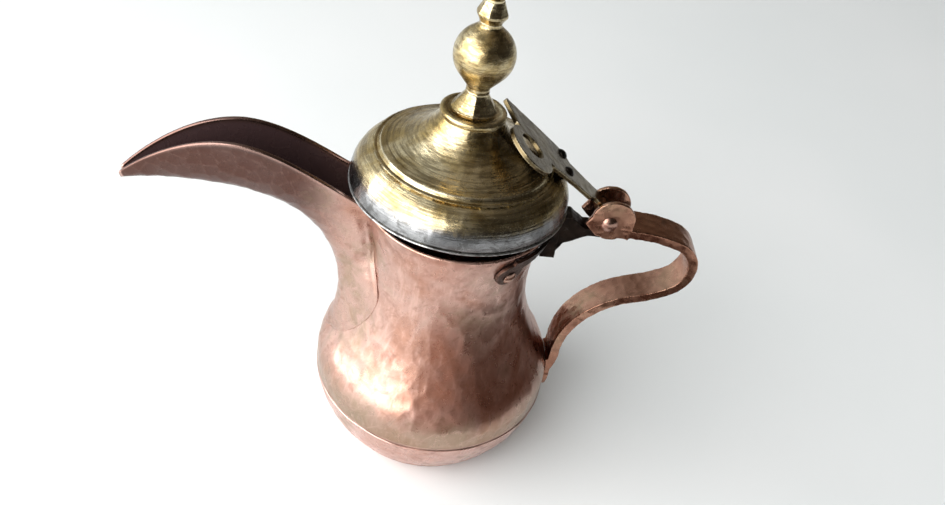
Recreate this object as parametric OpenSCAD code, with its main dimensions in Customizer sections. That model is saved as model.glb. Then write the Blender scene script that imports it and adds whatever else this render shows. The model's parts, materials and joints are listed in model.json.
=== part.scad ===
// Dallah: a hammered copper coffee pot with a turned brass lid hinged at the handle.
// Millimetres, +Z up. The origin is the middle of the base on the table, the spout
// points along -X and the handle along +X. The lid turns about the hinge pin.

/* [Pot] */
// Widest diameter of the belly
belly_d = 120; // [116:1:124]
// Height of the widest point of the belly
belly_z = 37.4; // [34:0.2:40]
// Radius of the arc from the base up to the belly
low_r = 57; // [56:0.5:58]
// Height of the mouth rim
rim_z = 144.3; // [142:0.1:147]
// Narrowest diameter of the neck
neck_d = 77.6; // [76:0.4:79.2]
// Height of the narrowest point of the neck
neck_z = 109.48; // [107:0.04:112]
// Height of the seam between base pan and body
seam_z = 31; // [30:0.5:32]
// Thickness of the copper sheet
sheet_t = 1.6; // [1.2:0.1:2]

/* [Spout] */
// Distance of the spout tip from the pot axis
spout_reach = 151.5; // [145:0.5:156]
// Half width of the trough where it leaves the rim
trough_half_w = 11; // [9:0.5:12]
// Half width of the root where it is lapped on the neck
root_half_w = 22; // [18:0.5:23]
// Sheet thickness of the spout
spout_t = 1.7; // [1.4:0.1:2]

/* [Handle] */
// Width of the copper strap
handle_w = 16; // [14:0.5:18]
// Thickness of the copper strap
handle_t = 5; // [4:0.5:5.5]
// Thickness of each hinge cheek
cheek_t = 2.2; // [1.8:0.1:2.6]

/* [Hinge] */
// Distance of the pin from the pot axis
pin_x = 70; // [69:0.5:71]
// Height of the pin
pin_z = 141; // [140:0.5:142]
// Diameter of the pin
pin_d = 4; // [3.6:0.1:4.4]
// Radial running clearance of the lid knuckle on the pin
pin_fit = 0.05; // [0.02:0.01:0.1]
// Width of the knuckle between the cheeks
knuckle_w = 9.6; // [9:0.1:9.8]

/* [Lid] */
// Outer diameter of the lid flange
flange_d = 101.2; // [100:0.2:102]
// Height of the underside of the flange above the rim
lid_gap = 4.9; // [4.6:0.1:6]
// Sideways lean of the worn hinge and lid, degrees
lid_lean = 5.2; // [4:0.1:5.4]
// Tilt of the lid on its strap, up at the spout, degrees
lid_tilt = 1.4; // [0.8:0.1:1.8]
// Offset of the lid axis towards the spout
lid_shift = 1.5; // [1:0.1:2]
// Thickness of the spun brass
dome_t = 1.6; // [1.2:0.1:1.8]

/* [View] */
// Sub-part to draw, or all of them

/* [Hidden] */
$fn = 96;
eps = 0.02;
touch = 0.05;

// Belly and neck outline: three tangent arcs
belly_r = belly_d / 2;
neck_r = neck_d / 2;
low_x = belly_r - low_r;
base_r = low_x + sqrt(low_r * low_r - belly_z * belly_z);
up_r = 30.3;
up_x = belly_r - up_r;
neck_in = belly_r - neck_r;
neck_dz = neck_z - belly_z;
arc_sum = (neck_in * neck_in + neck_dz * neck_dz) / (2 * neck_in);
neck_arc = arc_sum - up_r;
neck_x = neck_r + neck_arc;
join_z = belly_z + neck_dz * up_r / arc_sum;
// Half width of the blanks that the outline is cut from
wide = 75;

// Window from the neck into the spout
window_w = 15;
window_lo = 84;
window_hi = 128;

// Base pan
pan_t = 2;
pan_proud = 0.3;
lap_h = 4;
lap_t = 1.2;

// Neck band and its rivets
band_a = 58;
band_lo = 134;
band_h = 7.5;
band_t = 2.2;
band_rivet_z = 131;
band_lobe_r = 7;
rivet_r = 1.9;

// Handle strap: start, downward slope, straight run, then [radius, degrees to the right]
handle_start = [76, 137.1];
handle_fall = 4.6;
handle_run = 12;
handle_bends = [[61.8, 18.5], [16.9, 122.7], [50, 19.5], [43.2, -77.6], [30, 42]];
cheek_in = 5.2;
foot_t = 3.2;
foot_rivet_z = [26, 34];

// Lid frame heights, measured on the lid axis
flange_z = rim_z + lid_gap;
flange_r = flange_d / 2;
flange_t = 1;
skirt_r = 39.4;
skirt_t = 1.3;
skirt_drop = 6.5;
dome_z = flange_z + flange_t;
bulge_r = 17;
bulge_x = flange_r - bulge_r - 0.4;
bulge_z = dome_z + 2;
cone_arc = 34;
cone_x = 44;
cone_z = bulge_z + 52;
step_r = 40.4;
step_z = bulge_z + 15.4;
step_bead = 1.3;
cone_edge = 38.6;
cap_z = bulge_z + 39.2;
cap_r = 13.1;
cap_bead = 2;
cap_in = 2;
rod_r = 2;
stud_r = 1.1;
stud_len = 2.6;
rove_t = 1.2;

// Finial heights
foot_h = 9;
foot_r = 10.5;
foot_neck_r = 5.3;
bulb_z = cap_z + foot_h;
bulb_h = 32;
bulb_r = 13.5;
bulb_mid = 16.9;
bulb_neck_r = 4.9;
knop_z = bulb_z + bulb_h;
knop_r = 6.9;
knop_top_r = 4.2;
knop_h = 9.4;
tip_z = knop_z + knop_h;

// Lid strap: a flat plate sloping down to the pin
strap_slope = 39.4;
strap_t = 2.2;
strap_lift = 2.1;
strap_rivet_r = 1.4;
strap_rivet_in = 3.9;
strap_rivet_at = [[36.8, 7.8], [33.8, -3.4]];
knuckle_r = 4.6;

// ---------- outline helpers ----------

// Outer radius of the pot at height z
function pot_r(z) =
    z < belly_z ? low_x + sqrt(max(low_r * low_r - pow(z - belly_z, 2), 0)) :
    z < join_z ? up_x + sqrt(max(up_r * up_r - pow(z - belly_z, 2), 0)) :
    neck_x - sqrt(max(neck_arc * neck_arc - pow(z - neck_z, 2), 0));

// Half section of the solid pot grown outwards by g, from height lo to height hi
module pot_section(g, lo, hi) {
    top = rim_z + 12;
    intersection() {
        union() {
            intersection() {
                translate([low_x, belly_z]) circle(low_r + g);
                square([wide, belly_z]);
            }
            // the two upper arcs meet on the line through their centres
            intersection() {
                translate([up_x, belly_z]) circle(up_r + g);
                polygon([[up_x, belly_z], [neck_x, belly_z], [neck_x, neck_z]]);
            }
            difference() {
                polygon([[0, belly_z], [up_x, belly_z], [neck_x, neck_z], [neck_x, top], [0, top]]);
                translate([neck_x, neck_z]) circle(neck_arc - g);
            }
        }
        translate([0, lo]) square([wide, hi - lo]);
    }
}

// Revolve about +Z that starts at +Y, clear of every hole
module turned() {
    rotate([0, 0, 90]) rotate_extrude() children();
}

// Revolved shell between two growths of the pot outline
module pot_shell(g_in, g_out, lo, hi) {
    turned() difference() {
        pot_section(g_out, lo, hi);
        pot_section(g_in, lo - 1, hi + 1);
    }
}

// Sideways lean shared by the hinge and everything that turns on it
module lean() {
    translate([0, 0, rim_z]) rotate([-lid_lean, 0, 0]) translate([0, 0, -rim_z]) children();
}

// Lid frame: leaned, set a little towards the spout and tilted about the middle of its flange
module lid_frame() {
    lean() translate([-lid_shift, 0, flange_z]) rotate([0, lid_tilt, 0])
        translate([0, 0, -flange_z]) children();
}

// Domed rivet head of radius r and height h standing on z = 0
module dome_head(r, h) {
    ball = (r * r + h * h) / (2 * h);
    intersection() {
        translate([0, 0, h - ball]) sphere(ball);
        cylinder(r = r + 1, h = h + 1);
    }
}

// Rivet along +Z: shank from -below to above, heads at both ends
module rivet(shank_r, head_r, head_h, below, above) {
    translate([0, 0, -below - eps]) cylinder(r = shank_r, h = below + above + 2 * eps);
    translate([0, 0, above]) dome_head(head_r, head_h);
    translate([0, 0, -below]) mirror([0, 0, 1]) dome_head(head_r * 0.85, head_h * 0.8);
}

// ---------- pot ----------

// Frame on the pot surface at azimuth a and height z, +Z along the outward normal
module on_pot(a, z) {
    slope = atan2(pot_r(z + 0.5) - pot_r(z - 0.5), 1);
    rotate([0, 0, a]) translate([pot_r(z), 0, z]) rotate([0, 90 + slope, 0]) children();
}

module band_holes(r) {
    for (a = [-band_a, band_a]) on_pot(a, band_rivet_z) translate([0, 0, -4]) cylinder(r = r, h = 9);
}

module foot_holes(r) {
    for (z = foot_rivet_z) on_pot(0, z) translate([0, 0, -5]) cylinder(r = r, h = 13);
}

module window() {
    end = window_w / 2;
    translate([0, window_lo + end]) circle(end);
    translate([0, window_hi - end]) circle(end);
    translate([-end, window_lo + end]) square([window_w, window_hi - window_lo - window_w]);
}

module body_shell() color([0.72, 0.45, 0.36]) difference() {
    pot_shell(-sheet_t, 0, seam_z, rim_z);
    translate([-wide, 0, 0]) rotate([90, 0, 90]) linear_extrude(wide - 20) window();
    band_holes(rivet_r);
    foot_holes(rivet_r);
}

module base_pan() color([0.78, 0.52, 0.45]) difference() {
    turned() {
        difference() {
            pot_section(pan_proud, 0, seam_z);
            translate([0, pan_t]) pot_section(-pan_t - 2, 0, seam_z + 1);
            translate([0, pan_t]) square([base_r - 8, seam_z]);
            intersection() {
                pot_section(-sheet_t - lap_t, pan_t, seam_z + 1);
                translate([0, pan_t]) square([wide, seam_z]);
            }
        }
        // lap ring brazed inside the body
        difference() {
            pot_section(-sheet_t, seam_z - eps, seam_z + lap_h);
            pot_section(-sheet_t - lap_t, seam_z - 1, seam_z + lap_h + 1);
        }
    }
    foot_holes(rivet_r);
}

// ---------- spout ----------

function bez(a, b, c, d, t) =
    pow(1 - t, 3) * a + 3 * t * pow(1 - t, 2) * b + 3 * t * t * (1 - t) * c + t * t * t * d;

root_z = 55.5;
split = 0.85;
reach = spout_reach;

// Keel line of the trough
function keel_low(t) = bez([-55.7, 55], [-48, 75], [-46.5, 109], [-72, 130.5], t);
function keel_high(t) = bez([-72, 130.5], [-84, 140.6], [-118, 147.5], [-reach, 140.5], t);
// Lip line of the trough, seen from the side
function lip_low(t) = bez([-44.6, rim_z - 0.3], [-60, 152.4], [-82, 169.4], [-101, 169.4], t);
function lip_high(t) = bez([-101, 169.4], [-119, 169.4], [-138, 157], [-reach, 142.6], t);

// s runs from 0 at the foot of the root to 1 at the rim and 2 at the tip
function keel(s) =
    s < 1 ? keel_low(split * s) :
    s - 1 < 0.15 ? keel_low(split + s - 1) : keel_high((s - 1.15) / 0.85);
function lip_z(s) = root_z + (rim_z - 0.3 - root_z) * s;
function root_w(z) =
    z < 91 ? root_half_w * sqrt(max(1 - pow((91 - z) / 36.2, 2), 0.02)) :
    z < 119 ? trough_half_w + (root_half_w - trough_half_w) * (0.5 + 0.5 * cos(180 * (z - 91) / 28)) :
    trough_half_w;
function lip_w(s) =
    s < 1 ? root_w(lip_z(s)) : 1.1 + (trough_half_w - 1.1) * (1 - pow(s - 1, 1.9));
function hug(z, y) = -sqrt(max(pow(pot_r(min(z, rim_z)) + 0.12, 2) - y * y, 0));
function lip(s) =
    s < 1 ? [hug(lip_z(s), lip_w(s)), lip_z(s)] :
    s - 1 < 0.5 ? lip_low(2 * (s - 1)) : lip_high(2 * (s - 1) - 1);
function smooth(t) = let (c = min(max(t, 0), 1)) c * c * (3 - 2 * c);
function mix(a, b, t) = a + (b - a) * t;

// Inner face of the trough; u runs from -1 at one lip through the keel to 1 at the other
function trough(s, u) =
    let (k = keel(s),
         e = lip(s),
         bell = 1 - smooth((lip_z(s) - 92) / 36),
         v = abs(u),
         across = mix(sin(90 * v), v, bell),
         up = mix(1 - cos(90 * v), pow(sin(90 * v), 2), bell),
         y = lip_w(s) * across * sign(u),
         z = mix(k[1], e[1], up),
         deep = max(hug(k[1], 0) - k[0], 0.1),
         x_root = hug(z, y) - deep * (1 - up),
         x_free = mix(k[0], e[0], up),
         seated = s < 1 ? max(bell, 1 - smooth((s - 0.6) / 0.37)) : 0,
         x = mix(x_free, x_root, seated))
    [s < 1 ? min(x, hug(z, y)) : x, y, z];

function unit(v) = v / max(norm(v), 1e-9);
function skin_normal(s, u) =
    let (h = 0.01,
         a = trough(min(s + h, 2), u) - trough(max(s - h, 0), u),
         b = trough(s, min(u + h, 1)) - trough(s, max(u - h, -1)))
    unit(cross(a, b));
function skin(s, u, t) = trough(s, u) + t * skin_normal(s, u);

module spout() color([0.72, 0.45, 0.36]) {
    n_s = 64;
    n_u = 20;
    row = n_u + 1;
    layer = (n_s + 1) * row;
    inner = [for (i = [0:n_s]) for (j = [0:n_u]) trough(2 * i / n_s, 2 * j / n_u - 1)];
    outer = [for (i = [0:n_s]) for (j = [0:n_u]) skin(2 * i / n_s, 2 * j / n_u - 1, spout_t)];
    quads_in = [for (i = [0:n_s - 1]) for (j = [0:n_u - 1])
        let (a = i * row + j) each [[a, a + 1, a + row + 1], [a, a + row + 1, a + row]]];
    quads_out = [for (i = [0:n_s - 1]) for (j = [0:n_u - 1])
        let (a = layer + i * row + j) each [[a, a + row + 1, a + 1], [a, a + row, a + row + 1]]];
    ends = [for (j = [0:n_u - 1])
        let (a = j, b = n_s * row + j) each [
            [a, layer + a + 1, a + 1], [a, layer + a, layer + a + 1],
            [b, b + 1, layer + b + 1], [b, layer + b + 1, layer + b]]];
    sides = [for (i = [0:n_s - 1])
        let (a = i * row, b = i * row + n_u) each [
            [a, a + row, layer + a + row], [a, layer + a + row, layer + a],
            [b, layer + b + row, b + row], [b, layer + b, layer + b + row]]];
    polyhedron(concat(inner, outer), concat(quads_in, quads_out, ends, sides), convexity = 6);
}

// ---------- handle and bracket ----------

// Side view of the strap: headings are degrees below the horizontal, X then Z
function right_of(h) = [-sin(h), -cos(h)];
function bend_to(p, h, bend, t) =
    p + sign(bend[1]) * bend[0] * (right_of(h) - right_of(h + bend[1] * t));
// Point and heading where bend i starts
function bend_start(i) =
    i == 0 ? [handle_start + handle_run * [cos(handle_fall), -sin(handle_fall)], handle_fall] :
    let (s = bend_start(i - 1), bend = handle_bends[i - 1])
    [bend_to(s[0], s[1], bend, 1), s[1] + bend[1]];

module strap_side() {
    step = 3;
    line = [for (i = [0:len(handle_bends) - 1])
        let (s = bend_start(i), bend = handle_bends[i], n = ceil(abs(bend[1]) / step))
        for (k = [(i == 0 ? 0 : 1):n]) [bend_to(s[0], s[1], bend, k / n), s[1] + bend[1] * k / n]];
    all = concat([[handle_start, handle_fall]], line);
    last = len(all) - 1;
    polygon(concat([for (q = all) q[0] - handle_t / 2 * right_of(q[1])],
                   [for (i = [0:last]) let (q = all[last - i]) q[0] + handle_t / 2 * right_of(q[1])]));
}

module cheek() {
    // outline in X and Z about the pin, pointed towards the pot
    rotate([90, 0, 0]) linear_extrude(cheek_t) difference() {
        union() {
            translate([1.5, 1.8]) circle(10.6);
            polygon([[-11.4, -0.8], [-5, -7.4], [11, -8.2], [12, 0], [-4.5, 10.5]]);
        }
        circle(d = pin_d);
    }
}

module handle() color([0.75, 0.45, 0.33]) {
    difference() {
        union() {
            translate([0, handle_w / 2, 0]) rotate([90, 0, 0]) linear_extrude(handle_w) strap_side();
            // hinge cheeks forged from the end of the strap
            lean() for (s = [-1, 1])
                translate([pin_x, s > 0 ? cheek_in + cheek_t : -cheek_in, pin_z]) cheek();
            // leaf shaped foot beaten to the belly
            intersection() {
                pot_shell(-sheet_t, foot_t, 20, 58);
                translate([30, 0, 0]) rotate([90, 0, 90]) linear_extrude(wide) union() {
                    translate([0, 31]) circle(9);
                    translate([-handle_w / 2, 32]) square([handle_w, 13]);
                }
            }
        }
        // the strap is dressed to lie on the belly
        turned() pot_section(touch, 0, rim_z);
        turned() pot_section(pan_proud + touch, 0, seam_z + touch);
        foot_holes(rivet_r);
    }
}

module handle_rivets() color([0.70, 0.42, 0.32])
    for (z = foot_rivet_z) on_pot(0, z) rivet(rivet_r, 3.6, 1.8, sheet_t + lap_t + 0.3, foot_t + 0.35);

module neck_band() color([0.25, 0.21, 0.18]) difference() {
    intersection() {
        pot_shell(touch, band_t, 120, rim_z - 2.2);
        union() {
            // bar round the handle side of the neck with a round lobe at each end
            rotate([0, 0, -band_a]) rotate_extrude(angle = 2 * band_a)
                translate([30, band_lo]) square([30, band_h]);
            for (a = [-band_a, band_a]) rotate([0, 0, a]) translate([30, 0, band_rivet_z + 1.5])
                rotate([0, 90, 0]) cylinder(r = band_lobe_r, h = 30);
        }
    }
    band_holes(rivet_r);
}

module band_rivets() color([0.72, 0.44, 0.35])
    for (a = [-band_a, band_a]) on_pot(a, band_rivet_z)
        rivet(rivet_r, 3.6, 1.5, sheet_t + 0.35, band_t + 0.25);

module hinge_tongue() color([0.22, 0.19, 0.17]) difference() {
    lean() {
        // bar reaching under the knuckle, with a block against the neck band
        translate([0, cheek_in - 0.1, 0]) rotate([90, 0, 0]) linear_extrude(2 * cheek_in - 0.2)
            polygon([[40, 121], [47.5, 120], [51.5, 126.5], [62, 131.6], [74.5, 131.2],
                     [75.4, 136], [60, 136], [53, 141.2], [40, 141.2]]);
        translate([38, -7.5, 119]) cube([10, 15, 21.5]);
    }
    turned() pot_section(band_t + touch, 0, rim_z + 8);
}

module hinge_pin() color([0.74, 0.46, 0.36]) lean() translate([pin_x, 0, pin_z]) rotate([90, 0, 0]) {
    half = cheek_in + cheek_t;
    translate([0, 0, -half - eps]) cylinder(d = pin_d, h = 2 * half + 2 * eps);
    for (s = [0, 1]) mirror([0, 0, s]) translate([0, 0, half]) dome_head(4.2, 1.9);
}

// ---------- lid ----------

module lid_skirt() color([0.55, 0.55, 0.54]) lid_frame()
    translate([0, 0, flange_z - skirt_drop]) difference() {
        cylinder(r = skirt_r, h = skirt_drop);
        translate([0, 0, -1]) cylinder(r = skirt_r - skirt_t, h = skirt_drop + 2);
    }

module lid_flange() color([0.62, 0.62, 0.61]) lid_frame() rotate_extrude()
    translate([skirt_r - skirt_t - 1, flange_z]) {
        w = flange_r - skirt_r + skirt_t + 1;
        square([w - flange_t / 2, flange_t]);
        translate([w - flange_t / 2, flange_t / 2]) circle(d = flange_t);
    }

// Half section of the dome pulled in by t
module dome_section(t) {
    intersection() {
        translate([bulge_x, bulge_z]) circle(bulge_r - t);
        translate([bulge_x, dome_z]) square([bulge_r + 1, bulge_r + 4]);
    }
    translate([0, dome_z]) square([bulge_x, bulge_z + bulge_r - t - dome_z]);
    difference() {
        translate([0, dome_z]) square([cone_edge - t, cap_z - t - dome_z]);
        translate([cone_x, cone_z]) circle(cone_arc + t);
    }
}

module lid_dome() color([0.68, 0.58, 0.33]) difference() {
    lid_frame() difference() {
        rotate_extrude() {
            difference() {
                union() {
                    dome_section(0);
                    // raised step ring
                    translate([step_r, step_z]) circle(step_bead);
                    // round collar under the finial
                    translate([0, cap_z - cap_bead]) square([cap_r, cap_bead]);
                    translate([cap_r, cap_z - cap_bead]) circle(cap_bead);
                }
                difference() {
                    dome_section(dome_t);
                    translate([0, cap_z - cap_in]) square([wide, 10]);
                }
                translate([0, dome_z - 1]) square([flange_r - 3.2, 1 + eps]);
            }
        }
        cylinder(r = rod_r, h = 300);
    }
    lean() strap_holes(strap_rivet_r);
}

module finial_base() color([0.70, 0.60, 0.36]) lid_frame() translate([0, 0, cap_z]) difference() {
    rotate_extrude()
        polygon([[0, 0], [foot_r, 0], [foot_r, 1], [8.3, 3.4], [6.4, 6.1],
                 [foot_neck_r, 8], [foot_neck_r, foot_h], [0, foot_h]]);
    translate([0, 0, -1]) cylinder(r = rod_r, h = foot_h + 2);
}

module finial_bulb() color([0.70, 0.60, 0.36]) lid_frame() translate([0, 0, bulb_z]) difference() {
    // ball cut off where the cones of its two necks begin
    rotate_extrude() {
        low = bulb_mid - 0.6 * bulb_r;
        high = bulb_mid + 0.8 * bulb_r;
        intersection() {
            translate([0, bulb_mid]) circle(bulb_r);
            translate([0, low]) square([bulb_r + 1, high - low]);
        }
        polygon([[0, 0], [foot_neck_r, 0], [foot_neck_r, 2.2], [0.8 * bulb_r, low], [0, low]]);
        polygon([[0, high], [0.6 * bulb_r, high], [bulb_neck_r, 30.3], [bulb_neck_r, bulb_h], [0, bulb_h]]);
    }
    translate([0, 0, -1]) cylinder(r = rod_r, h = bulb_h + 2);
}

module finial_knop() color([0.70, 0.60, 0.36]) lid_frame() translate([0, 0, knop_z]) difference() {
    union() {
        cylinder(r1 = bulb_neck_r, r2 = knop_r, h = 2.8);
        translate([0, 0, 2.8]) cylinder(r = knop_r, h = 1.2);
        translate([0, 0, 4]) cylinder(r1 = knop_r, r2 = knop_top_r, h = knop_h - 4);
    }
    translate([0, 0, -1]) cylinder(r = rod_r, h = knop_h + 2);
}

module finial_tip() color([0.70, 0.60, 0.36]) lid_frame() translate([0, 0, tip_z]) difference() {
    rotate_extrude() union() {
        square([4, 0.9]);
        intersection() {
            translate([0, 3.4]) circle(3.1);
            translate([0, 0.6]) square([4, 8]);
        }
        translate([0, 5.5]) polygon([[0, 0], [2.2, 0], [0.7, 3.2], [0, 3.6]]);
    }
    translate([0, 0, -1]) cylinder(r = stud_r, h = stud_len + 1);
}

module finial_rod() color([0.60, 0.50, 0.30]) lid_frame() {
    rod_foot = cap_z - cap_in - rove_t;
    translate([0, 0, rod_foot - eps]) cylinder(r = rod_r, h = tip_z - rod_foot + eps);
    translate([0, 0, tip_z - eps]) cylinder(r = stud_r, h = stud_len + eps);
    // peened end inside the lid
    translate([0, 0, rod_foot]) mirror([0, 0, 1]) dome_head(3.4, 1.6);
}

module finial_rove() color([0.60, 0.55, 0.45]) lid_frame()
    translate([0, 0, cap_z - cap_in - rove_t]) difference() {
        cylinder(r = 6, h = rove_t);
        translate([0, 0, -1]) cylinder(r = rod_r, h = rove_t + 2);
    }

// ---------- lid strap ----------

// Strap frame: origin on the pin, -X up the slope towards the finial, +Z away from the lid
module strap_frame() {
    translate([pin_x, 0, pin_z]) rotate([0, strap_slope, 0]) children();
}

module strap_holes(r) {
    strap_frame() for (p = strap_rivet_at) translate([-p[0], p[1], -14]) cylinder(r = r, h = 30);
}

module lid_strap() color([0.60, 0.53, 0.34]) lean() strap_frame()
    difference() {
        union() {
            translate([0, 0, strap_lift]) linear_extrude(strap_t) difference() {
                union() {
                    // point beside the collar, straight far edge, arm to the knuckle
                    polygon([[-75.9, 9.3], [-75, 10.8], [-42, 11.2], [-36.5, 10.8], [-31.5, 5.6],
                             [-15.5, 4.8], [0, 4.8], [0, -4.8], [-14.5, -4.8], [-19, -8.6],
                             [-30, -9.6], [-46, -13], [-60, -8], [-69.6, -3]]);
                    // eye on the near side
                    translate([-60.9, -15]) circle(13);
                }
                translate([-60.7, -12.6]) circle(6.6);
            }
            // knuckle and its web
            translate([0, knuckle_w / 2, 0]) rotate([90, 0, 0]) cylinder(r = knuckle_r, h = knuckle_w);
            translate([-7.5, -knuckle_w / 2, 0]) cube([7.5, knuckle_w, strap_lift + eps]);
        }
        translate([0, 20, 0]) rotate([90, 0, 0]) cylinder(r = pin_d / 2 + pin_fit, h = 40);
        for (p = strap_rivet_at) translate([-p[0], p[1], -3]) cylinder(r = strap_rivet_r, h = 12);
    }

module strap_rivets() color([0.30, 0.25, 0.18]) lean() strap_frame()
    for (p = strap_rivet_at) translate([-p[0], p[1], strap_lift])
        rivet(strap_rivet_r, 2.9, 1.5, strap_rivet_in, strap_t);

// ---------- assembly ----------

body_shell();
base_pan();
spout();
neck_band();
hinge_tongue();
band_rivets();
handle();
handle_rivets();
hinge_pin();
lid_skirt();
lid_flange();
lid_dome();
finial_base();
finial_bulb();
finial_knop();
finial_tip();
finial_rod();
finial_rove();
lid_strap();
strap_rivets();
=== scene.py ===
"""Hammered copper dallah with a turned brass lid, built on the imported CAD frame.

Lengths in the mesh code are millimetres and are turned into metres when a mesh is made.
The pot axis is +Z, the spout points along -X and the handle along +X.
"""

import json
import math

import bmesh
import bpy
import numpy as np
from mathutils import Matrix, Vector, noise


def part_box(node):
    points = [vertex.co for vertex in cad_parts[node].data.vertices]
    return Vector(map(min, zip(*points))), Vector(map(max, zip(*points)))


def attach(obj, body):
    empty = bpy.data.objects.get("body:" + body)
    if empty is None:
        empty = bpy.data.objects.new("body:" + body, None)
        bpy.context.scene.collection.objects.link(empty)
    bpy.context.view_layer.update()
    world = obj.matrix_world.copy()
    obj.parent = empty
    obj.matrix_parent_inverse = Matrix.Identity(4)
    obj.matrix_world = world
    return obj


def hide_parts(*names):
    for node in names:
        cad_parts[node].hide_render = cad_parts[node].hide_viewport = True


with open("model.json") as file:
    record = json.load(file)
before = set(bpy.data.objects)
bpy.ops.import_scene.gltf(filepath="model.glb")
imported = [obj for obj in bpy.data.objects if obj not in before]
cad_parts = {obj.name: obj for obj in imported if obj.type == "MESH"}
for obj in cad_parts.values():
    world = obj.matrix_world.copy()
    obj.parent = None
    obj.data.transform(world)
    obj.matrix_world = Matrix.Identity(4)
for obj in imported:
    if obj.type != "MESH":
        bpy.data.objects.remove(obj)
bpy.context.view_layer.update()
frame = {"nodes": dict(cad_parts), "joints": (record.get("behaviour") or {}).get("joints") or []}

MM = 0.001
RNG_SEED = 11


def box_mm(node):
    lo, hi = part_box(node)
    return np.array(lo) / MM, np.array(hi) / MM


# ---------- driving dimensions, millimetres ----------

shell_lo, shell_hi = box_mm("body_shell")
spout_lo = box_mm("spout")[0]
BELLY_R = shell_hi[0]
SEAM_Z = shell_lo[2]
RIM_Z = shell_hi[2]
TIP_ROOM = 0.5
REACH = -spout_lo[0] - TIP_ROOM

# Pot outline: three tangent arcs
BELLY_Z = 37.4
LOW_R = 57.0
UP_R = 30.3
NECK_R = 38.8
NECK_Z = 109.48
SHEET_T = 1.6
PAN_PROUD = 0.3
PAN_T = 2.0
LAP_H = 4.0
LAP_T = 1.2

LOW_X = BELLY_R - LOW_R
UP_X = BELLY_R - UP_R
NECK_IN = BELLY_R - NECK_R
NECK_DZ = NECK_Z - BELLY_Z
ARC_SUM = (NECK_IN**2 + NECK_DZ**2) / (2 * NECK_IN)
NECK_ARC = ARC_SUM - UP_R
NECK_X = NECK_R + NECK_ARC
JOIN_Z = BELLY_Z + NECK_DZ * UP_R / ARC_SUM

# Spout
TROUGH_HALF_W = 11.0
ROOT_HALF_W = 22.0
SPOUT_T = 1.7
ROOT_Z = 55.5
WINDOW_W = 15.0
WINDOW_LO = 84.0
WINDOW_HI = 128.0
SPLIT = 0.85

# Lid, in its own frame: leaned about the rim plane and shifted towards the spout
hinge = frame["joints"][0]
LEAN = math.atan2(-hinge["axis"][2], hinge["axis"][1])
LID_SHIFT = 1.5
LID_GAP = 4.9
FLANGE_Z = RIM_Z + LID_GAP
FLANGE_R = 50.6
LID_TILT = math.radians(1.4)
FLANGE_T = 1.0
FLANGE_IN_R = 37.1
DOME_Z = FLANGE_Z + FLANGE_T
DOME_T = 1.6
BULGE_R = 17.0
BULGE_X = FLANGE_R - BULGE_R - 0.4
BULGE_Z = DOME_Z + 2
CONE_ARC = 34.0
CONE_X = 44.0
CONE_Z = BULGE_Z + 52
CAP_Z = BULGE_Z + 39.2
CAP_R = 13.1
CAP_BEAD = 2.0
ROD_R = 2.0
FOOT_H = 9.0
FOOT_R = 10.5
FOOT_NECK_R = 5.3
BULB_H = 32.0
BULB_R = 13.5
BULB_MID = 16.9
BULB_NECK_R = 4.9
KNOP_H = 9.4
KNOP_R = 6.9

# Spacing of the hammer marks, and points round a pot ring
BIG_MARK = 8.0
SMALL_MARK = 4.6
PAN_MARK = 5.5
SPOUT_MARK = 7.0
POT_COUNT = 460


# ---------- mesh helpers ----------


def link(name, mesh, body, nodes, material):
    obj = bpy.data.objects.new(name, mesh)
    bpy.context.scene.collection.objects.link(obj)
    mesh.materials.clear()
    mesh.materials.append(material)
    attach(obj, body)
    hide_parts(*nodes)
    return obj


def mesh_from(name, points, quads, tris=()):
    """Mesh from millimetre points; faces are turned outwards."""
    points = np.asarray(points, float)
    faces = [tuple(f) for f in quads] + [tuple(f) for f in tris]
    parts = [np.asarray(quads, int)[:, [0, 1, 2]], np.asarray(quads, int)[:, [0, 2, 3]]]
    if len(tris):
        parts.append(np.asarray(tris, int))
    t = np.vstack(parts)
    a, b, c = points[t[:, 0]], points[t[:, 1]], points[t[:, 2]]
    if np.einsum("ij,ij->i", a, np.cross(b, c)).sum() < 0:
        faces = [f[::-1] for f in faces]
    mesh = bpy.data.meshes.new(name)
    mesh.from_pydata((points * MM).tolist(), [], faces)
    mesh.shade_smooth()
    mesh.update()
    return mesh


def store(mesh, name, values):
    mesh.attributes.new(name, "FLOAT", "POINT").data.foreach_set("value", np.asarray(values, np.float32).ravel())


def grid_quads(n, m, wrap_n, wrap_m):
    i = np.arange(n if wrap_n else n - 1)
    j = np.arange(m if wrap_m else m - 1)
    i, j = np.meshgrid(i, j, indexing="ij")
    a, b = i * m + j, i * m + (j + 1) % m
    c, d = ((i + 1) % n) * m + (j + 1) % m, ((i + 1) % n) * m + j
    return np.stack([a, b, c, d], -1).reshape(-1, 4)


def arc(cx, cz, r, a0, a1, step):
    """Points on an arc, in degrees from +R towards +Z, about step apart."""
    n = max(int(abs(math.radians(a1 - a0)) * r / step), 2)
    a = np.radians(np.linspace(a0, a1, n + 1))
    return np.stack([cx + r * np.cos(a), cz + r * np.sin(a)], -1)


def run(p, q, step):
    p, q = np.array(p, float), np.array(q, float)
    n = max(int(np.linalg.norm(q - p) / step), 1)
    return p + (q - p) * np.linspace(0, 1, n + 1)[:, None]


def chain(*parts):
    """Join runs of points, dropping the ones that repeat."""
    points = np.vstack(parts)
    keep = np.ones(len(points), bool)
    keep[1:] = np.linalg.norm(np.diff(points, axis=0), axis=1) > 0.01
    return points[keep]


def ring_normals(profile):
    t = np.roll(profile, -1, 0) - np.roll(profile, 1, 0)
    n = np.stack([t[:, 1], -t[:, 0]], -1)
    return n / np.maximum(np.linalg.norm(n, axis=1, keepdims=True), 1e-9)


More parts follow.
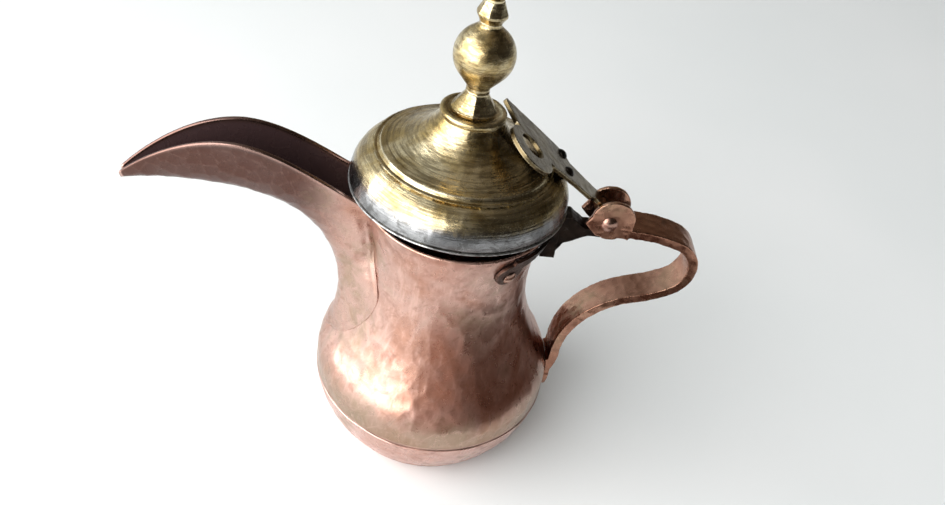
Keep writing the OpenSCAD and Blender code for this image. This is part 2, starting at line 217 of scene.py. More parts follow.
def revolved(profile, count):
    """Grid of points and normals from a closed profile of (radius, height)."""
    area = np.cross(profile, np.roll(profile, -1, 0)).sum()
    normal = ring_normals(profile) * (1 if area > 0 else -1)
    t = np.linspace(0, 2 * np.pi, count, endpoint=False)
    cos, sin = np.cos(t)[None], np.sin(t)[None]

    def spin(v):
        return np.stack([v[:, :1] * cos, v[:, :1] * sin, np.repeat(v[:, 1:], count, 1)], -1)

    return spin(profile), spin(normal)


def waves(points, size, seed, depth=2):
    """Smooth noise from -1 to 1 with features about size across."""
    shift = Vector((seed * 7.13, seed * 3.71, seed * 1.97))
    flat = np.asarray(points, float).reshape(-1, 3) / size
    out = [noise.fractal(Vector(p) + shift, 1.0, 2.0, depth, noise_basis="PERLIN_ORIGINAL") for p in flat]
    return np.array(out).reshape(np.asarray(points).shape[:-1])


def strikes(points, pitch, stretch, rng):
    """Hammer strike centres spread over a surface, pitch apart and stretch times longer in Z."""
    flat = points.reshape(-1, 3)
    scale = np.array([1, 1, 1 / stretch])
    pick = flat[rng.permutation(len(flat))[:6000]] * scale
    kept = np.empty((0, 3))
    for p in pick:
        if not len(kept) or ((kept - p) ** 2).sum(1).min() > (0.78 * pitch) ** 2:
            kept = np.vstack([kept, p])
    return kept, scale


def dimples(points, pitch, stretch, rng):
    """Shallow dishes that meet in ridges: depth from 0 in a dish to about 1 on a ridge, and ridge sharpness."""
    seeds, scale = strikes(points, pitch, stretch, rng)
    flat = (points.reshape(-1, 3) * scale).astype(np.float32)
    seeds = seeds.astype(np.float32)
    gain = rng.uniform(0.7, 1.25, len(seeds)).astype(np.float32) / (pitch / 2) ** 2
    lift = rng.uniform(-0.25, 0.25, len(seeds)).astype(np.float32)
    height = np.empty(len(flat), np.float32)
    ridge = np.empty(len(flat), np.float32)
    square = (seeds**2).sum(1)
    for k in range(0, len(flat), 16000):
        q = flat[k : k + 16000]
        d = ((q**2).sum(1)[:, None] + square[None] - 2 * q @ seeds.T) * gain + lift
        two = np.partition(d, 1, axis=1)[:, :2]
        height[k : k + 16000] = two[:, 0]
        ridge[k : k + 16000] = two[:, 1] - two[:, 0]
    shape = points.shape[:-1]
    return np.clip(height, -0.3, 1.6).reshape(shape), np.exp(-ridge / 0.16).reshape(shape)


def edge_wear(mesh, rounds):
    """Convex edges and ridges as an attribute from 0 to 1."""
    n = len(mesh.vertices)
    co, no = np.zeros(n * 3), np.zeros(n * 3)
    mesh.vertices.foreach_get("co", co)
    mesh.vertices.foreach_get("normal", no)
    co, no = co.reshape(-1, 3), no.reshape(-1, 3)
    e = np.zeros(len(mesh.edges) * 2, int)
    mesh.edges.foreach_get("vertices", e)
    e = e.reshape(-1, 2)
    count = np.bincount(e.ravel(), minlength=n).clip(1)

    def mean(v):
        out = np.zeros_like(v)
        for k in range(v.shape[1]):
            out[:, k] = np.bincount(e[:, 0], v[e[:, 1], k], n) + np.bincount(e[:, 1], v[e[:, 0], k], n)
        return out / count[:, None]

    length = np.linalg.norm(co[e[:, 0]] - co[e[:, 1]], axis=1).mean()
    bend = -((mean(co) - co) * no).sum(1, keepdims=True) / length
    for _ in range(rounds):
        bend = mean(bend)
    store(mesh, "worn", np.clip(bend * 4, -1, 1))


# ---------- material helpers ----------


class Graph:
    """A material with short calls for the nodes it needs."""

    def __init__(self, name):
        self.material = bpy.data.materials.new(name)
        self.material.use_nodes = True
        self.nodes = self.material.node_tree.nodes
        self.links = self.material.node_tree.links
        self.bsdf = self.nodes["Principled BSDF"]
        self.where = self.nodes.new("ShaderNodeTexCoord").outputs["Object"]

    def put(self, socket, value):
        if isinstance(value, bpy.types.NodeSocket):
            self.links.new(value, socket)
        else:
            socket.default_value = value

    def stretch(self, scale, turn=(0, 0, 0), where=None):
        n = self.nodes.new("ShaderNodeMapping")
        self.put(n.inputs["Vector"], where or self.where)
        n.inputs["Scale"].default_value = scale
        n.inputs["Rotation"].default_value = turn
        return n.outputs["Vector"]

    def noise(self, scale, detail=3.0, rough=0.55, where=None, bend=0.0):
        n = self.nodes.new("ShaderNodeTexNoise")
        self.put(n.inputs["Vector"], where or self.where)
        n.inputs["Scale"].default_value = scale
        n.inputs["Detail"].default_value = detail
        n.inputs["Roughness"].default_value = rough
        n.inputs["Distortion"].default_value = bend
        return n.outputs["Fac"]

    def attribute(self, name):
        n = self.nodes.new("ShaderNodeAttribute")
        n.attribute_name = name
        return n.outputs["Fac"]

    def math(self, kind, a, b=0.0, clamp=False):
        n = self.nodes.new("ShaderNodeMath")
        n.operation = kind
        n.use_clamp = clamp
        self.put(n.inputs[0], a)
        self.put(n.inputs[1], b)
        return n.outputs[0]

    def span(self, value, lo, hi, out_lo=0.0, out_hi=1.0):
        """Smooth step of value from lo to hi."""
        n = self.nodes.new("ShaderNodeMapRange")
        n.interpolation_type = "SMOOTHSTEP"
        self.put(n.inputs["Value"], value)
        n.inputs["From Min"].default_value = lo
        n.inputs["From Max"].default_value = hi
        n.inputs["To Min"].default_value = out_lo
        n.inputs["To Max"].default_value = out_hi
        return n.outputs["Result"]

    def mix(self, share, a, b, kind="MIX"):
        n = self.nodes.new("ShaderNodeMix")
        n.data_type = "RGBA"
        n.blend_type = kind
        self.put(n.inputs[0], share)
        self.put(n.inputs[6], (*a, 1) if isinstance(a, tuple) else a)
        self.put(n.inputs[7], (*b, 1) if isinstance(b, tuple) else b)
        return n.outputs[2]

    def part(self, axis):
        n = self.nodes.new("ShaderNodeSeparateXYZ")
        self.put(n.inputs[0], self.where)
        return n.outputs[axis]

    def bump(self, height, distance, strength=1.0, base=None):
        n = self.nodes.new("ShaderNodeBump")
        n.inputs["Strength"].default_value = strength
        n.inputs["Distance"].default_value = distance
        self.put(n.inputs["Height"], height)
        if base is not None:
            self.put(n.inputs["Normal"], base)
        return n.outputs["Normal"]

    def finish(self, colour, rough, normal, metal=1.0):
        self.put(self.bsdf.inputs["Base Color"], colour)
        self.put(self.bsdf.inputs["Roughness"], rough)
        self.put(self.bsdf.inputs["Metallic"], metal)
        self.put(self.bsdf.inputs["Normal"], normal)
        return self.material


def copper(name, pink, warm, brown, rough=0.17, streak=1.0, fade=None, shadow=None):
    """Worn hammered copper: pale where rubbed, brown and olive where it has tarnished.

    fade is (axis, from, to, colour, share): more of a colour along an axis, in metres.
    shadow is the share of painted shade, a dark colour, inside the piece, which is also less metallic there.
    """
    g = Graph(name)
    wide = g.noise(34, 3, 0.55, bend=0.4)
    blotch = g.noise(120, 5, 0.62, bend=0.7)
    tall = g.noise(300, 4, 0.6, g.stretch((1, 1, 0.2)))
    grain = g.noise(1500, 3, 0.7)
    scratch = g.noise(900, 3, 0.6, g.stretch((1, 1, 0.06), (0.2, 0.1, 0)))
    worn = g.span(g.attribute("worn"), 0.05, 0.6)
    ridge = g.attribute("ridge")

    pale = tuple(min(0.98, c * 1.25 + 0.04) for c in pink)
    olive = (0.30, 0.235, 0.14)
    colour = g.mix(g.span(wide, 0.36, 0.62), warm, pink)
    colour = g.mix(g.span(tall, 0.50, 0.72, 0, 0.45 * streak), colour, pale)
    colour = g.mix(g.span(blotch, 0.50, 0.74, 0, 0.6), colour, brown)
    colour = g.mix(g.math("MULTIPLY", g.span(wide, 0.52, 0.70), g.span(blotch, 0.30, 0.52, 0, 0.5)), colour, olive)
    if fade:
        axis, start, stop, tone, share = fade
        place = g.math("ADD", g.part(axis), g.math("MULTIPLY", g.math("SUBTRACT", blotch, 0.5), 0.02))
        colour = g.mix(g.span(place, start, stop, 0, share), colour, tone)
    if shadow:
        # painted shade: the inside of the piece is darkened by the shadow share
        colour = g.mix(g.math("MULTIPLY", g.attribute("inside"), shadow), colour, (0.055, 0.032, 0.034))
    colour = g.mix(g.math("MULTIPLY", ridge, 0.28 * streak), colour, pale)
    colour = g.mix(g.math("MULTIPLY", worn, 0.6), colour, pale)
    colour = g.mix(g.attribute("grime"), colour, (0.06, 0.03, 0.022))
    colour = g.mix(g.span(grain, 0.30, 0.44, 0.2, 0.0), colour, (0.25, 0.11, 0.08))
    r = g.span(blotch, 0.25, 0.75, rough, rough + 0.15)
    r = g.math("ADD", r, g.math("MULTIPLY", g.math("SUBTRACT", tall, 0.5), 0.18))
    r = g.math("ADD", r, g.math("MULTIPLY", g.attribute("grime"), 0.4))
    r = g.math("SUBTRACT", r, g.math("MULTIPLY", worn, 0.05), clamp=True)
    height = g.math("ADD", g.math("MULTIPLY", grain, 0.25), g.math("MULTIPLY", scratch, 0.4))
    height = g.math("ADD", height, g.math("MULTIPLY", tall, 0.8))
    # where the painted shade lies, the copper is also less metallic
    metal = g.math("SUBTRACT", 1.0, g.math("MULTIPLY", g.attribute("inside"), 0.85)) if shadow else 1.0
    return g.finish(colour, r, g.bump(height, 0.00014, 0.5), metal)


def brass(name, pale, gold, olive, band=False):
    """Turned brass: short scratches round the piece, pale where rubbed, olive brown in the grooves."""
    g = Graph(name)
    wide = g.noise(45, 4, 0.6, bend=0.5)
    blotch = g.noise(170, 5, 0.62, bend=0.8)
    grain = g.noise(1600, 3, 0.7)
    around = g.nodes.new("ShaderNodeAttribute")
    around.attribute_name = "lathe"
    hair = g.noise(1.0, 3, 0.65, around.outputs["Vector"])
    patch = g.noise(0.35, 2, 0.5, around.outputs["Vector"])
    line = g.attribute("ring")
    worn = g.span(g.attribute("worn"), 0.05, 0.6)

    colour = g.mix(g.span(wide, 0.36, 0.62), gold, pale)
    colour = g.mix(g.span(patch, 0.44, 0.62, 0, 0.55), colour, olive)
    colour = g.mix(g.span(line, 0.55, 0.90, 0, 0.45), colour, olive)
    colour = g.mix(g.span(hair, 0.50, 0.72, 0, 0.6), colour, olive)
    colour = g.mix(g.span(blotch, 0.54, 0.76, 0, 0.45), colour, olive)
    colour = g.mix(g.math("MULTIPLY", worn, 0.45), colour, (0.90, 0.82, 0.62))
    if band:
        rise = g.attribute("rise")
        edge = g.math("ADD", rise, g.math("MULTIPLY", g.math("SUBTRACT", blotch, 0.5), 5.0))
        edge = g.math("ADD", edge, g.math("MULTIPLY", g.math("SUBTRACT", hair, 0.5), 3.0))
        tin = g.span(edge, 6.5, 12.5, 1.0, 0.0)
        grey = g.mix(g.span(wide, 0.35, 0.65), (0.17, 0.17, 0.175), (0.38, 0.38, 0.385))
        grey = g.mix(g.span(blotch, 0.46, 0.66, 0, 0.75), grey, (0.10, 0.098, 0.095))
        grey = g.mix(g.span(hair, 0.48, 0.66, 0, 0.5), grey, (0.13, 0.128, 0.125))
        colour = g.mix(tin, colour, grey)
    r = g.span(blotch, 0.25, 0.75, 0.11, 0.24)
    r = g.math("ADD", r, g.math("MULTIPLY", hair, 0.16), clamp=True)
    height = g.math("ADD", g.math("MULTIPLY", grain, 0.3), g.math("MULTIPLY", hair, -1.5))
    return g.finish(colour, r, g.bump(height, 0.00012, 0.6))


def tinned(name):
    g = Graph(name)
    wide = g.noise(60, 4, 0.6, bend=0.5)
    blotch = g.noise(240, 5, 0.65, bend=0.8)
    grain = g.noise(1500, 3, 0.7)
    worn = g.span(g.attribute("worn"), 0.05, 0.5)
    colour = g.mix(g.span(wide, 0.35, 0.65), (0.36, 0.36, 0.36), (0.60, 0.60, 0.59))
    colour = g.mix(g.span(blotch, 0.46, 0.68, 0, 0.85), colour, (0.10, 0.095, 0.09))
    colour = g.mix(g.math("MULTIPLY", worn, 0.7), colour, (0.90, 0.89, 0.86))
    r = g.span(blotch, 0.3, 0.7, 0.24, 0.46)
    height = g.math("ADD", grain, g.math("MULTIPLY", blotch, 1.4))
    return g.finish(colour, r, g.bump(height, 0.00015, 0.5))


def iron(name, tint=(0.010, 0.009, 0.008), ends=False):
    """Blackened forged metal with bright specks on its edges, browner at the ends of the neck band."""
    g = Graph(name)
    wide = g.noise(90, 4, 0.6, bend=0.6)
    blotch = g.noise(420, 5, 0.65, bend=0.6)
    grain = g.noise(1700, 3, 0.7)
    worn = g.span(g.attribute("worn"), 0.12, 0.6)
    colour = g.mix(g.span(wide, 0.35, 0.65), tint, (0.034, 0.024, 0.019))
    colour = g.mix(g.span(blotch, 0.58, 0.78, 0, 0.5), colour, (0.11, 0.10, 0.09))
    if ends:
        colour = g.mix(g.span(g.part(0), 0.036, 0.027, 0, 0.85), colour, (0.12, 0.068, 0.052))
    colour = g.mix(g.math("MULTIPLY", worn, 0.2 if ends else 0.5), colour, (0.45, 0.38, 0.33))
    r = g.span(blotch, 0.3, 0.7, 0.34, 0.55)
    height = g.math("ADD", grain, g.math("MULTIPLY", blotch, 1.6))
    return g.finish(colour, r, g.bump(height, 0.0002, 0.6))


PINK, WARM, BROWN = (0.61, 0.40, 0.34), (0.49, 0.265, 0.195), (0.29, 0.14, 0.10)
GOLD, PALE_BRASS, OLIVE = (0.44, 0.315, 0.125), (0.76, 0.65, 0.42), (0.125, 0.085, 0.035)
COPPER = copper("copper_hammered", PINK, WARM, BROWN, rough=0.24, fade=(2, 0.053, 0.036, (0.31, 0.245, 0.165), 0.6))
COPPER_PAN = copper("copper_pan", (0.68, 0.47, 0.42), (0.56, 0.34, 0.28), BROWN, rough=0.24, streak=0.6)
# the spout's inner face gets painted shade through shadow
COPPER_SPOUT = copper("copper_spout", PINK, WARM, BROWN, rough=0.20, streak=0.25,
                      fade=(0, -0.046, -0.076, (0.075, 0.036, 0.030), 0.92), shadow=0.9)
COPPER_STRAP = copper("copper_strap", (0.47, 0.26, 0.18), (0.34, 0.165, 0.11), (0.14, 0.07, 0.045), rough=0.19,
                      streak=0.5)
COPPER_RIVET = copper("copper_rivet", (0.50, 0.31, 0.25), (0.38, 0.21, 0.16), BROWN, streak=0.4)
BRASS_DOME = brass("brass_dome", PALE_BRASS, GOLD, OLIVE, band=True)
BRASS_TURNED = brass("brass_turned", PALE_BRASS, GOLD, OLIVE)
BRASS_STRAP = brass("brass_strap", (0.19, 0.145, 0.075), (0.115, 0.085, 0.042), (0.04, 0.03, 0.018))
TINNED = tinned("tin_wash")
IRON = iron("black_iron")
IRON_BAND = iron("black_iron_band", ends=True)

rng = np.random.default_rng(RNG_SEED)


# ---------- pot ----------


def pot_r(z):
    z = np.asarray(z, float)
    low = LOW_X + np.sqrt(np.maximum(LOW_R**2 - (z - BELLY_Z) ** 2, 0))
    up = UP_X + np.sqrt(np.maximum(UP_R**2 - (z - BELLY_Z) ** 2, 0))
    neck = NECK_X - np.sqrt(np.maximum(NECK_ARC**2 - (z - NECK_Z) ** 2, 0))
    return np.where(z < BELLY_Z, low, np.where(z < JOIN_Z, up, neck))


def wall(z0, z1, g, step):
    """Points of the pot outline from z0 to z1, moved out by g along the normal."""
    z = np.linspace(z0, z1, max(int(abs(z1 - z0) / step), 2) + 1)
    slope = (pot_r(z + 0.05) - pot_r(z - 0.05)) / 0.1
    n = np.stack([np.ones_like(z), -slope], -1) / np.sqrt(1 + slope**2)[:, None]
    return np.stack([pot_r(z), z], -1) + g * n


def cut_window(body):
    """The pouring window under the spout, a round-ended slot through the neck."""
    end = WINDOW_W / 2
    outline = []
    for middle, start in ((WINDOW_HI - end, 0), (WINDOW_LO + end, 180)):
        for a in np.radians(np.linspace(start, start + 180, 17)):
            outline.append((end * math.cos(a), middle + end * math.sin(a)))
    build = bmesh.new()
    face = build.faces.new([build.verts.new((-BELLY_R * MM, y * MM, z * MM)) for y, z in outline])
    grown = bmesh.ops.extrude_face_region(build, geom=[face])["geom"]
    for v in (q for q in grown if isinstance(q, bmesh.types.BMVert)):
        v.co.x = -0.4 * BELLY_R * MM
    bmesh.ops.recalc_face_normals(build, faces=build.faces)
    mesh = bpy.data.meshes.new("window_cutter")
    build.to_mesh(mesh)
    build.free()
    cutter = bpy.data.objects.new("window_cutter", mesh)
    bpy.context.scene.collection.objects.link(cutter)
    cut = body.modifiers.new("window", "BOOLEAN")
    cut.operation = "DIFFERENCE"
    cut.solver = "EXACT"
    cut.object = cutter
    bpy.context.view_layer.update()
    made = bpy.data.meshes.new_from_object(body.evaluated_get(bpy.context.evaluated_depsgraph_get()))
    body.modifiers.clear()
    body.data = made
    bpy.data.objects.remove(cutter)


def body_piece():
    half = SHEET_T / 2
    outer = wall(SEAM_Z, RIM_Z - half, 0, 0.8)
    inner = wall(RIM_Z - half, SEAM_Z, -SHEET_T, 1.4)
    lip = (outer[-1] + inner[0]) / 2
    profile = chain(outer, arc(lip[0], lip[1], half, 0, 180, 0.3), inner)
    p, n = revolved(profile, POT_COUNT)
    z = p[..., 2]
    fade = np.clip((z - SEAM_Z) / 4, 0, 1) * np.clip((RIM_Z - z) / 5, 0, 1)
    inside = (np.arange(len(profile)) > len(outer) + 3)[:, None]
    h1, ridge1 = dimples(p, BIG_MARK, 1.7, rng)
    h2, ridge2 = dimples(p, SMALL_MARK, 1.9, rng)
    lump = waves(p, 26, 3)
    d = (0.17 * (h1 - 1.1) + 0.06 * (h2 - 1.1)) * fade + 0.22 * (lump - 0.8) * fade
    d = np.where(inside, 0.35 * d, d)
    p = p + n * d[..., None]
    mesh = mesh_from("body", p.reshape(-1, 3), grid_quads(*p.shape[:2], True, True))
    store(mesh, "ridge", np.maximum(ridge1, 0.7 * ridge2) * fade)
    turn = np.arctan2(p[..., 1], p[..., 0])
    broken = 0.45 + 0.2 * np.sin(9 * turn + 1) + 0.15 * np.sin(23 * turn)
    store(mesh, "grime", np.clip(broken, 0, 1) * np.exp(-(((z - SEAM_Z) / 1.3) ** 2)))
    edge_wear(mesh, 2)
    body = link("body", mesh, "pot", ["body_shell"], COPPER)
    cut_window(body)
    return body


def pan_piece():
    half = (SHEET_T + PAN_PROUD) / 2
    outer = wall(2.0, SEAM_Z - 0.3, PAN_PROUD, 0.8)
    foot = arc(outer[0][0] - 2.0, 2.0, 2.0, -90, 0, 0.4)
    inner = wall(SEAM_Z + LAP_H, PAN_T + 1.5, -SHEET_T - LAP_T, 1.5)
    profile = chain(
        run((0.4, 0.35), (30, 0.3), 3), run((31, 0.2), (foot[0][0], 0.0), 2), foot, outer,
        run(outer[-1], outer[-1] + np.array([-half * 0.9, 0.45]), 0.3),
        run((pot_r(SEAM_Z) - SHEET_T, SEAM_Z + 0.2), wall(SEAM_Z + LAP_H, SEAM_Z + LAP_H + 1, -SHEET_T, 1)[0], 1),
        inner, run((inner[-1][0] - 2, PAN_T), (0.4, PAN_T), 3),
    )
    p, n = revolved(profile, POT_COUNT)
    r = np.hypot(p[..., 0], p[..., 1])
    skin = (np.arange(len(profile)) < len(profile) - len(inner) - 30)[:, None] & (r > 30)
    h, ridge = dimples(p, PAN_MARK, 1.1, rng)
    lump = waves(p, 24, 5)
    d = (0.14 * (h - 1.1) + 0.2 * (lump - 0.8)) * np.where(skin, 1, 0.1) * np.clip(p[..., 2] / 4, 0, 1)
    p = p + n * d[..., None]
    # the lip of the pan wanders a little along the seam
    t = np.arctan2(p[..., 1], p[..., 0])
    near = np.exp(-(((p[..., 2] - SEAM_Z) / 1.5) ** 2))
    p[..., 2] += near * (0.35 * np.sin(5 * t + 1) + 0.25 * np.sin(11 * t) + 0.15 * np.sin(23 * t + 2))
    mesh = mesh_from("pan", p.reshape(-1, 3), grid_quads(*p.shape[:2], True, True))
    store(mesh, "ridge", ridge * 0.8)
    edge_wear(mesh, 2)
    return link("pan", mesh, "pot", ["base_pan"], COPPER_PAN)


# ---------- spout ----------


def bezier(points, t):
    a, b, c, d = (np.array(q, float) for q in points)
    t = np.asarray(t)[..., None]
    return (1 - t) ** 3 * a + 3 * t * (1 - t) ** 2 * b + 3 * t**2 * (1 - t) * c + t**3 * d


LIP_FOOT = RIM_Z - 0.3
KEEL_LOW = [(-55.7, 55), (-48, 75), (-46.5, 109), (-72, 130.5)]
KEEL_HIGH = [(-72, 130.5), (-84, 140.6), (-118, 147.5), (-REACH, 140.5)]
LIP_LOW = [(-44.6, LIP_FOOT), (-60, 152.4), (-82, 169.4), (-101, 169.4)]
LIP_HIGH = [(-101, 169.4), (-119, 169.4), (-138, 157), (-REACH, 142.6)]


def smooth(t):
    c = np.clip(t, 0, 1)
    return c * c * (3 - 2 * c)


def blend(a, b, t):
    return a + (b - a) * t


def keel(s):
    low = bezier(KEEL_LOW, np.where(s < 1, SPLIT * s, SPLIT + np.minimum(s - 1, 0.15)))
    high = bezier(KEEL_HIGH, np.clip((s - 1.15) / 0.85, 0, 1))
    return np.where((s < 1.15)[..., None], low, high)


def hug(z, y):
    return -np.sqrt(np.maximum((pot_r(np.minimum(z, RIM_Z)) - 0.42) ** 2 - y * y, 0))


def trough(s, u):
    """Inner face of the spout: s from 0 at the root to 2 at the tip, u across from lip to lip."""
    k = keel(s)
    root = s < 1
    foot_z = ROOT_Z + (LIP_FOOT - ROOT_Z) * s
    root_w = np.where(
        foot_z < 91,
        ROOT_HALF_W * np.sqrt(np.maximum(1 - ((91 - foot_z) / 36.2) ** 2, 0.02)),
        np.where(
            foot_z < 119,
            TROUGH_HALF_W + (ROOT_HALF_W - TROUGH_HALF_W) * (0.5 + 0.5 * np.cos(np.pi * (foot_z - 91) / 28)),
            TROUGH_HALF_W,
        ),
    )
    free_w = 1.1 + (TROUGH_HALF_W - 1.1) * (1 - np.maximum(s - 1, 0) ** 1.9)
    w = np.where(root, root_w, free_w)
    top = np.where(
        (s < 1.5)[..., None],
        bezier(LIP_LOW, np.clip(2 * (s - 1), 0, 1)),
        bezier(LIP_HIGH, np.clip(2 * (s - 1) - 1, 0, 1)),
    )
    e = np.where(root[..., None], np.stack([hug(foot_z, w), foot_z], -1), top)
    bell = 1 - smooth((foot_z - 92) / 36)
    v = np.abs(u)
    swing = np.sin(np.pi / 2 * v)
    across = blend(swing, v, bell)
    up = blend(1 - np.cos(np.pi / 2 * v), swing**2, bell)
    y = w * across * np.sign(u)
    z = blend(k[..., 1], e[..., 1], up)
    deep = np.maximum(hug(k[..., 1], 0) - k[..., 0], 0.1)
    seat = np.where(root, np.maximum(bell, 1 - smooth((s - 0.6) / 0.37)), 0)
    x = blend(blend(k[..., 0], e[..., 0], up), hug(z, y) - deep * (1 - up), seat)
    x = np.where(root, np.minimum(x, hug(z, y)), x)
    return np.stack([x, y, z], -1)


def skin_normal(s, u):
    h = 0.01
    a = trough(np.minimum(s + h, 2), u) - trough(np.maximum(s - h, 0), u)
    b = trough(s, np.minimum(u + h, 1)) - trough(s, np.maximum(u - h, -1))
    n = np.cross(a, b)
    return n / np.maximum(np.linalg.norm(n, axis=-1, keepdims=True), 1e-9)


def spout_piece():
    rows, cols, turn = 300, 90, 7
    s, u = np.meshgrid(np.linspace(0, 2, rows), np.linspace(-1, 1, cols), indexing="ij")
    inner, n = trough(s, u), skin_normal(s, u)
    across = np.linalg.norm(np.diff(inner, axis=1), axis=-1)
    half = np.concatenate([np.zeros((rows, 1)), np.cumsum(across, 1)], 1)
    from_lip = np.minimum(half, half[:, -1:] - half)
    root = 1 - smooth((s - 0.86) / 0.16)
    # the lapped root is hammered thin at its edge, and the free lip is folded back on itself
    fold = root * np.exp(-(((from_lip - 2.4) / 1.3) ** 2)) * smooth(s / 0.1)
    thick = SPOUT_T * blend(1, blend(0.28, 1, smooth(from_lip / 9)), root) + 0.5 * fold
    hem = (1 - root) * np.exp(-((from_lip / 1.7) ** 4)) * (1 - smooth((s - 1.45) / 0.5))
    h1, ridge1 = dimples(inner + n * SPOUT_T, SPOUT_MARK, 1.0, rng)
    lump = waves(inner, 22, 9)
    soft = np.clip(from_lip / 3, 0, 1) * np.clip((2 - s) * 12, 0, 1) * np.clip(s * 12, 0, 1)
    outer = inner + n * (thick + 0.5 * hem + soft * (0.16 * (h1 - 1.3) + 0.15 * (lump - 0.6)))[..., None]
    inner = inner + n * (soft * 0.12 * (lump + 0.6))[..., None]

    def lip_arc(i, o, away):
        c, r = (i + o) / 2, np.linalg.norm(o - i, axis=-1, keepdims=True) / 2
        a = np.linspace(0, np.pi, turn + 2)[1:-1]
        side = (o - i) / np.maximum(2 * r, 1e-6)
        return np.stack([c - side * r * math.cos(t) + away * r * math.sin(t) * 0.8 for t in a], 1)

    def away(edge, back):
        d = inner[:, edge] - inner[:, back]
        return d / np.maximum(np.linalg.norm(d, axis=-1, keepdims=True), 1e-6)

    loop = np.concatenate(
        [
            inner,
            lip_arc(inner[:, -1], outer[:, -1], away(-1, -3)),
            outer[:, ::-1],
            lip_arc(outer[:, 0], inner[:, 0], away(0, 2)),
        ],
        1,
    )
    m = loop.shape[1]
    quads = grid_quads(rows, m, False, True).tolist()
    for base, flip in ((0, False), ((rows - 1) * m, True)):
        for j in range(cols - 1):
            a, b = base + j, base + j + 1
            c, d = base + cols + turn + (cols - 1 - j) - 1, base + cols + turn + (cols - 1 - j)
            quads.append([a, b, c, d] if flip else [a, d, c, b])
        for first, last in ((cols - 1, cols + turn), (2 * cols + turn - 1, 2 * cols + 2 * turn)):
            fan = [base + k % m for k in range(first, last + 1)]
            for k in range(1, len(fan) - 1):
                tri = [fan[0], fan[k], fan[k + 1]]
                quads.append([*(tri if flip else tri[::-1])])
    tris = [q for q in quads if len(q) == 3]
    quads = [q for q in quads if len(q) == 4]
    mesh = mesh_from("spout_sheet", loop.reshape(-1, 3), quads, tris)
    ridge = np.zeros(loop.shape[:2])
    ridge[:, cols + turn : 2 * cols + turn] = ridge1[:, ::-1]
    store(mesh, "ridge", ridge)
    # the inner face of the spout, which its material paints in shade
    face_in = np.zeros(loop.shape[:2])
    face_in[:, :cols] = np.clip(from_lip / 1.5, 0, 1)
    store(mesh, "inside", face_in)
    edge_wear(mesh, 2)
    return link("spout_sheet", mesh, "pot", ["spout"], COPPER_SPOUT)


# ---------- forged pieces, worked up from their CAD solids ----------


def forged(node, name, body, slot, material, voxel, rounds, lumps, seed):
    source = frame["nodes"][node]
    mesh = source.data.copy()
    build = bmesh.new()
    build.from_mesh(mesh)
    bmesh.ops.remove_doubles(build, verts=build.verts, dist=1e-6)
    build.to_mesh(mesh)
    build.free()
    raw = bpy.data.objects.new(name + "_raw", mesh)
    bpy.context.scene.collection.objects.link(raw)
    remesh = raw.modifiers.new("remesh", "REMESH")
    remesh.mode = "VOXEL"
    remesh.voxel_size = voxel * MM
    remesh.use_smooth_shade = True
    if rounds:
        soften = raw.modifiers.new("soften", "SMOOTH")
        soften.factor = 0.5
        soften.iterations = rounds
    bpy.context.view_layer.update()
    made = bpy.data.meshes.new_from_object(raw.evaluated_get(bpy.context.evaluated_depsgraph_get()))
    bpy.data.objects.remove(raw)
    made.name = name
    n = len(made.vertices)
    co, no = np.zeros(n * 3), np.zeros(n * 3)
    made.vertices.foreach_get("co", co)
    made.vertices.foreach_get("normal", no)
    co, no = co.reshape(-1, 3), no.reshape(-1, 3)
    local = np.random.default_rng(seed)
    h, ridge = dimples(co / MM, 5.0, 1.0, local)
    d = lumps * (0.5 * (np.clip(h, 0, 1.2) - 1.2) + 0.6 * (waves(co / MM, 7, seed) - 0.6))
    made.vertices.foreach_set("co", (co + no * d[:, None] * MM).ravel())
    made.update()
    made.shade_smooth()
    store(made, "ridge", ridge * 0.5)
    edge_wear(made, 3)
    return link(name, made, body, [node], material)


# ---------- lid ----------

lid_matrix = (
    Matrix.Translation((0, 0, RIM_Z))
    @ Matrix.Rotation(-LEAN, 4, "X")
    @ Matrix.Translation((-LID_SHIFT, 0, FLANGE_Z - RIM_Z))
    @ Matrix.Rotation(LID_TILT, 4, "Y")
    @ Matrix.Translation((0, 0, -FLANGE_Z))
)
LID_TURN = np.array(lid_matrix.to_3x3())
LID_MOVE = np.array(lid_matrix.translation)


def to_row(points):
    return points @ LID_TURN.T + LID_MOVE


def lathe_lines(profile, seed, pitch):
    """Distance along a profile and the uneven fine rings that the lathe tool cut there."""
    length = np.concatenate([[0], np.cumsum(np.linalg.norm(np.diff(profile, axis=0), axis=1))])
    coarse = [noise.noise(Vector((x / pitch, seed, 0))) for x in length]
    fine = [noise.noise(Vector((x / pitch * 2.7, seed, 5))) for x in length]
    return length, np.array(coarse) + 0.6 * np.array(fine)


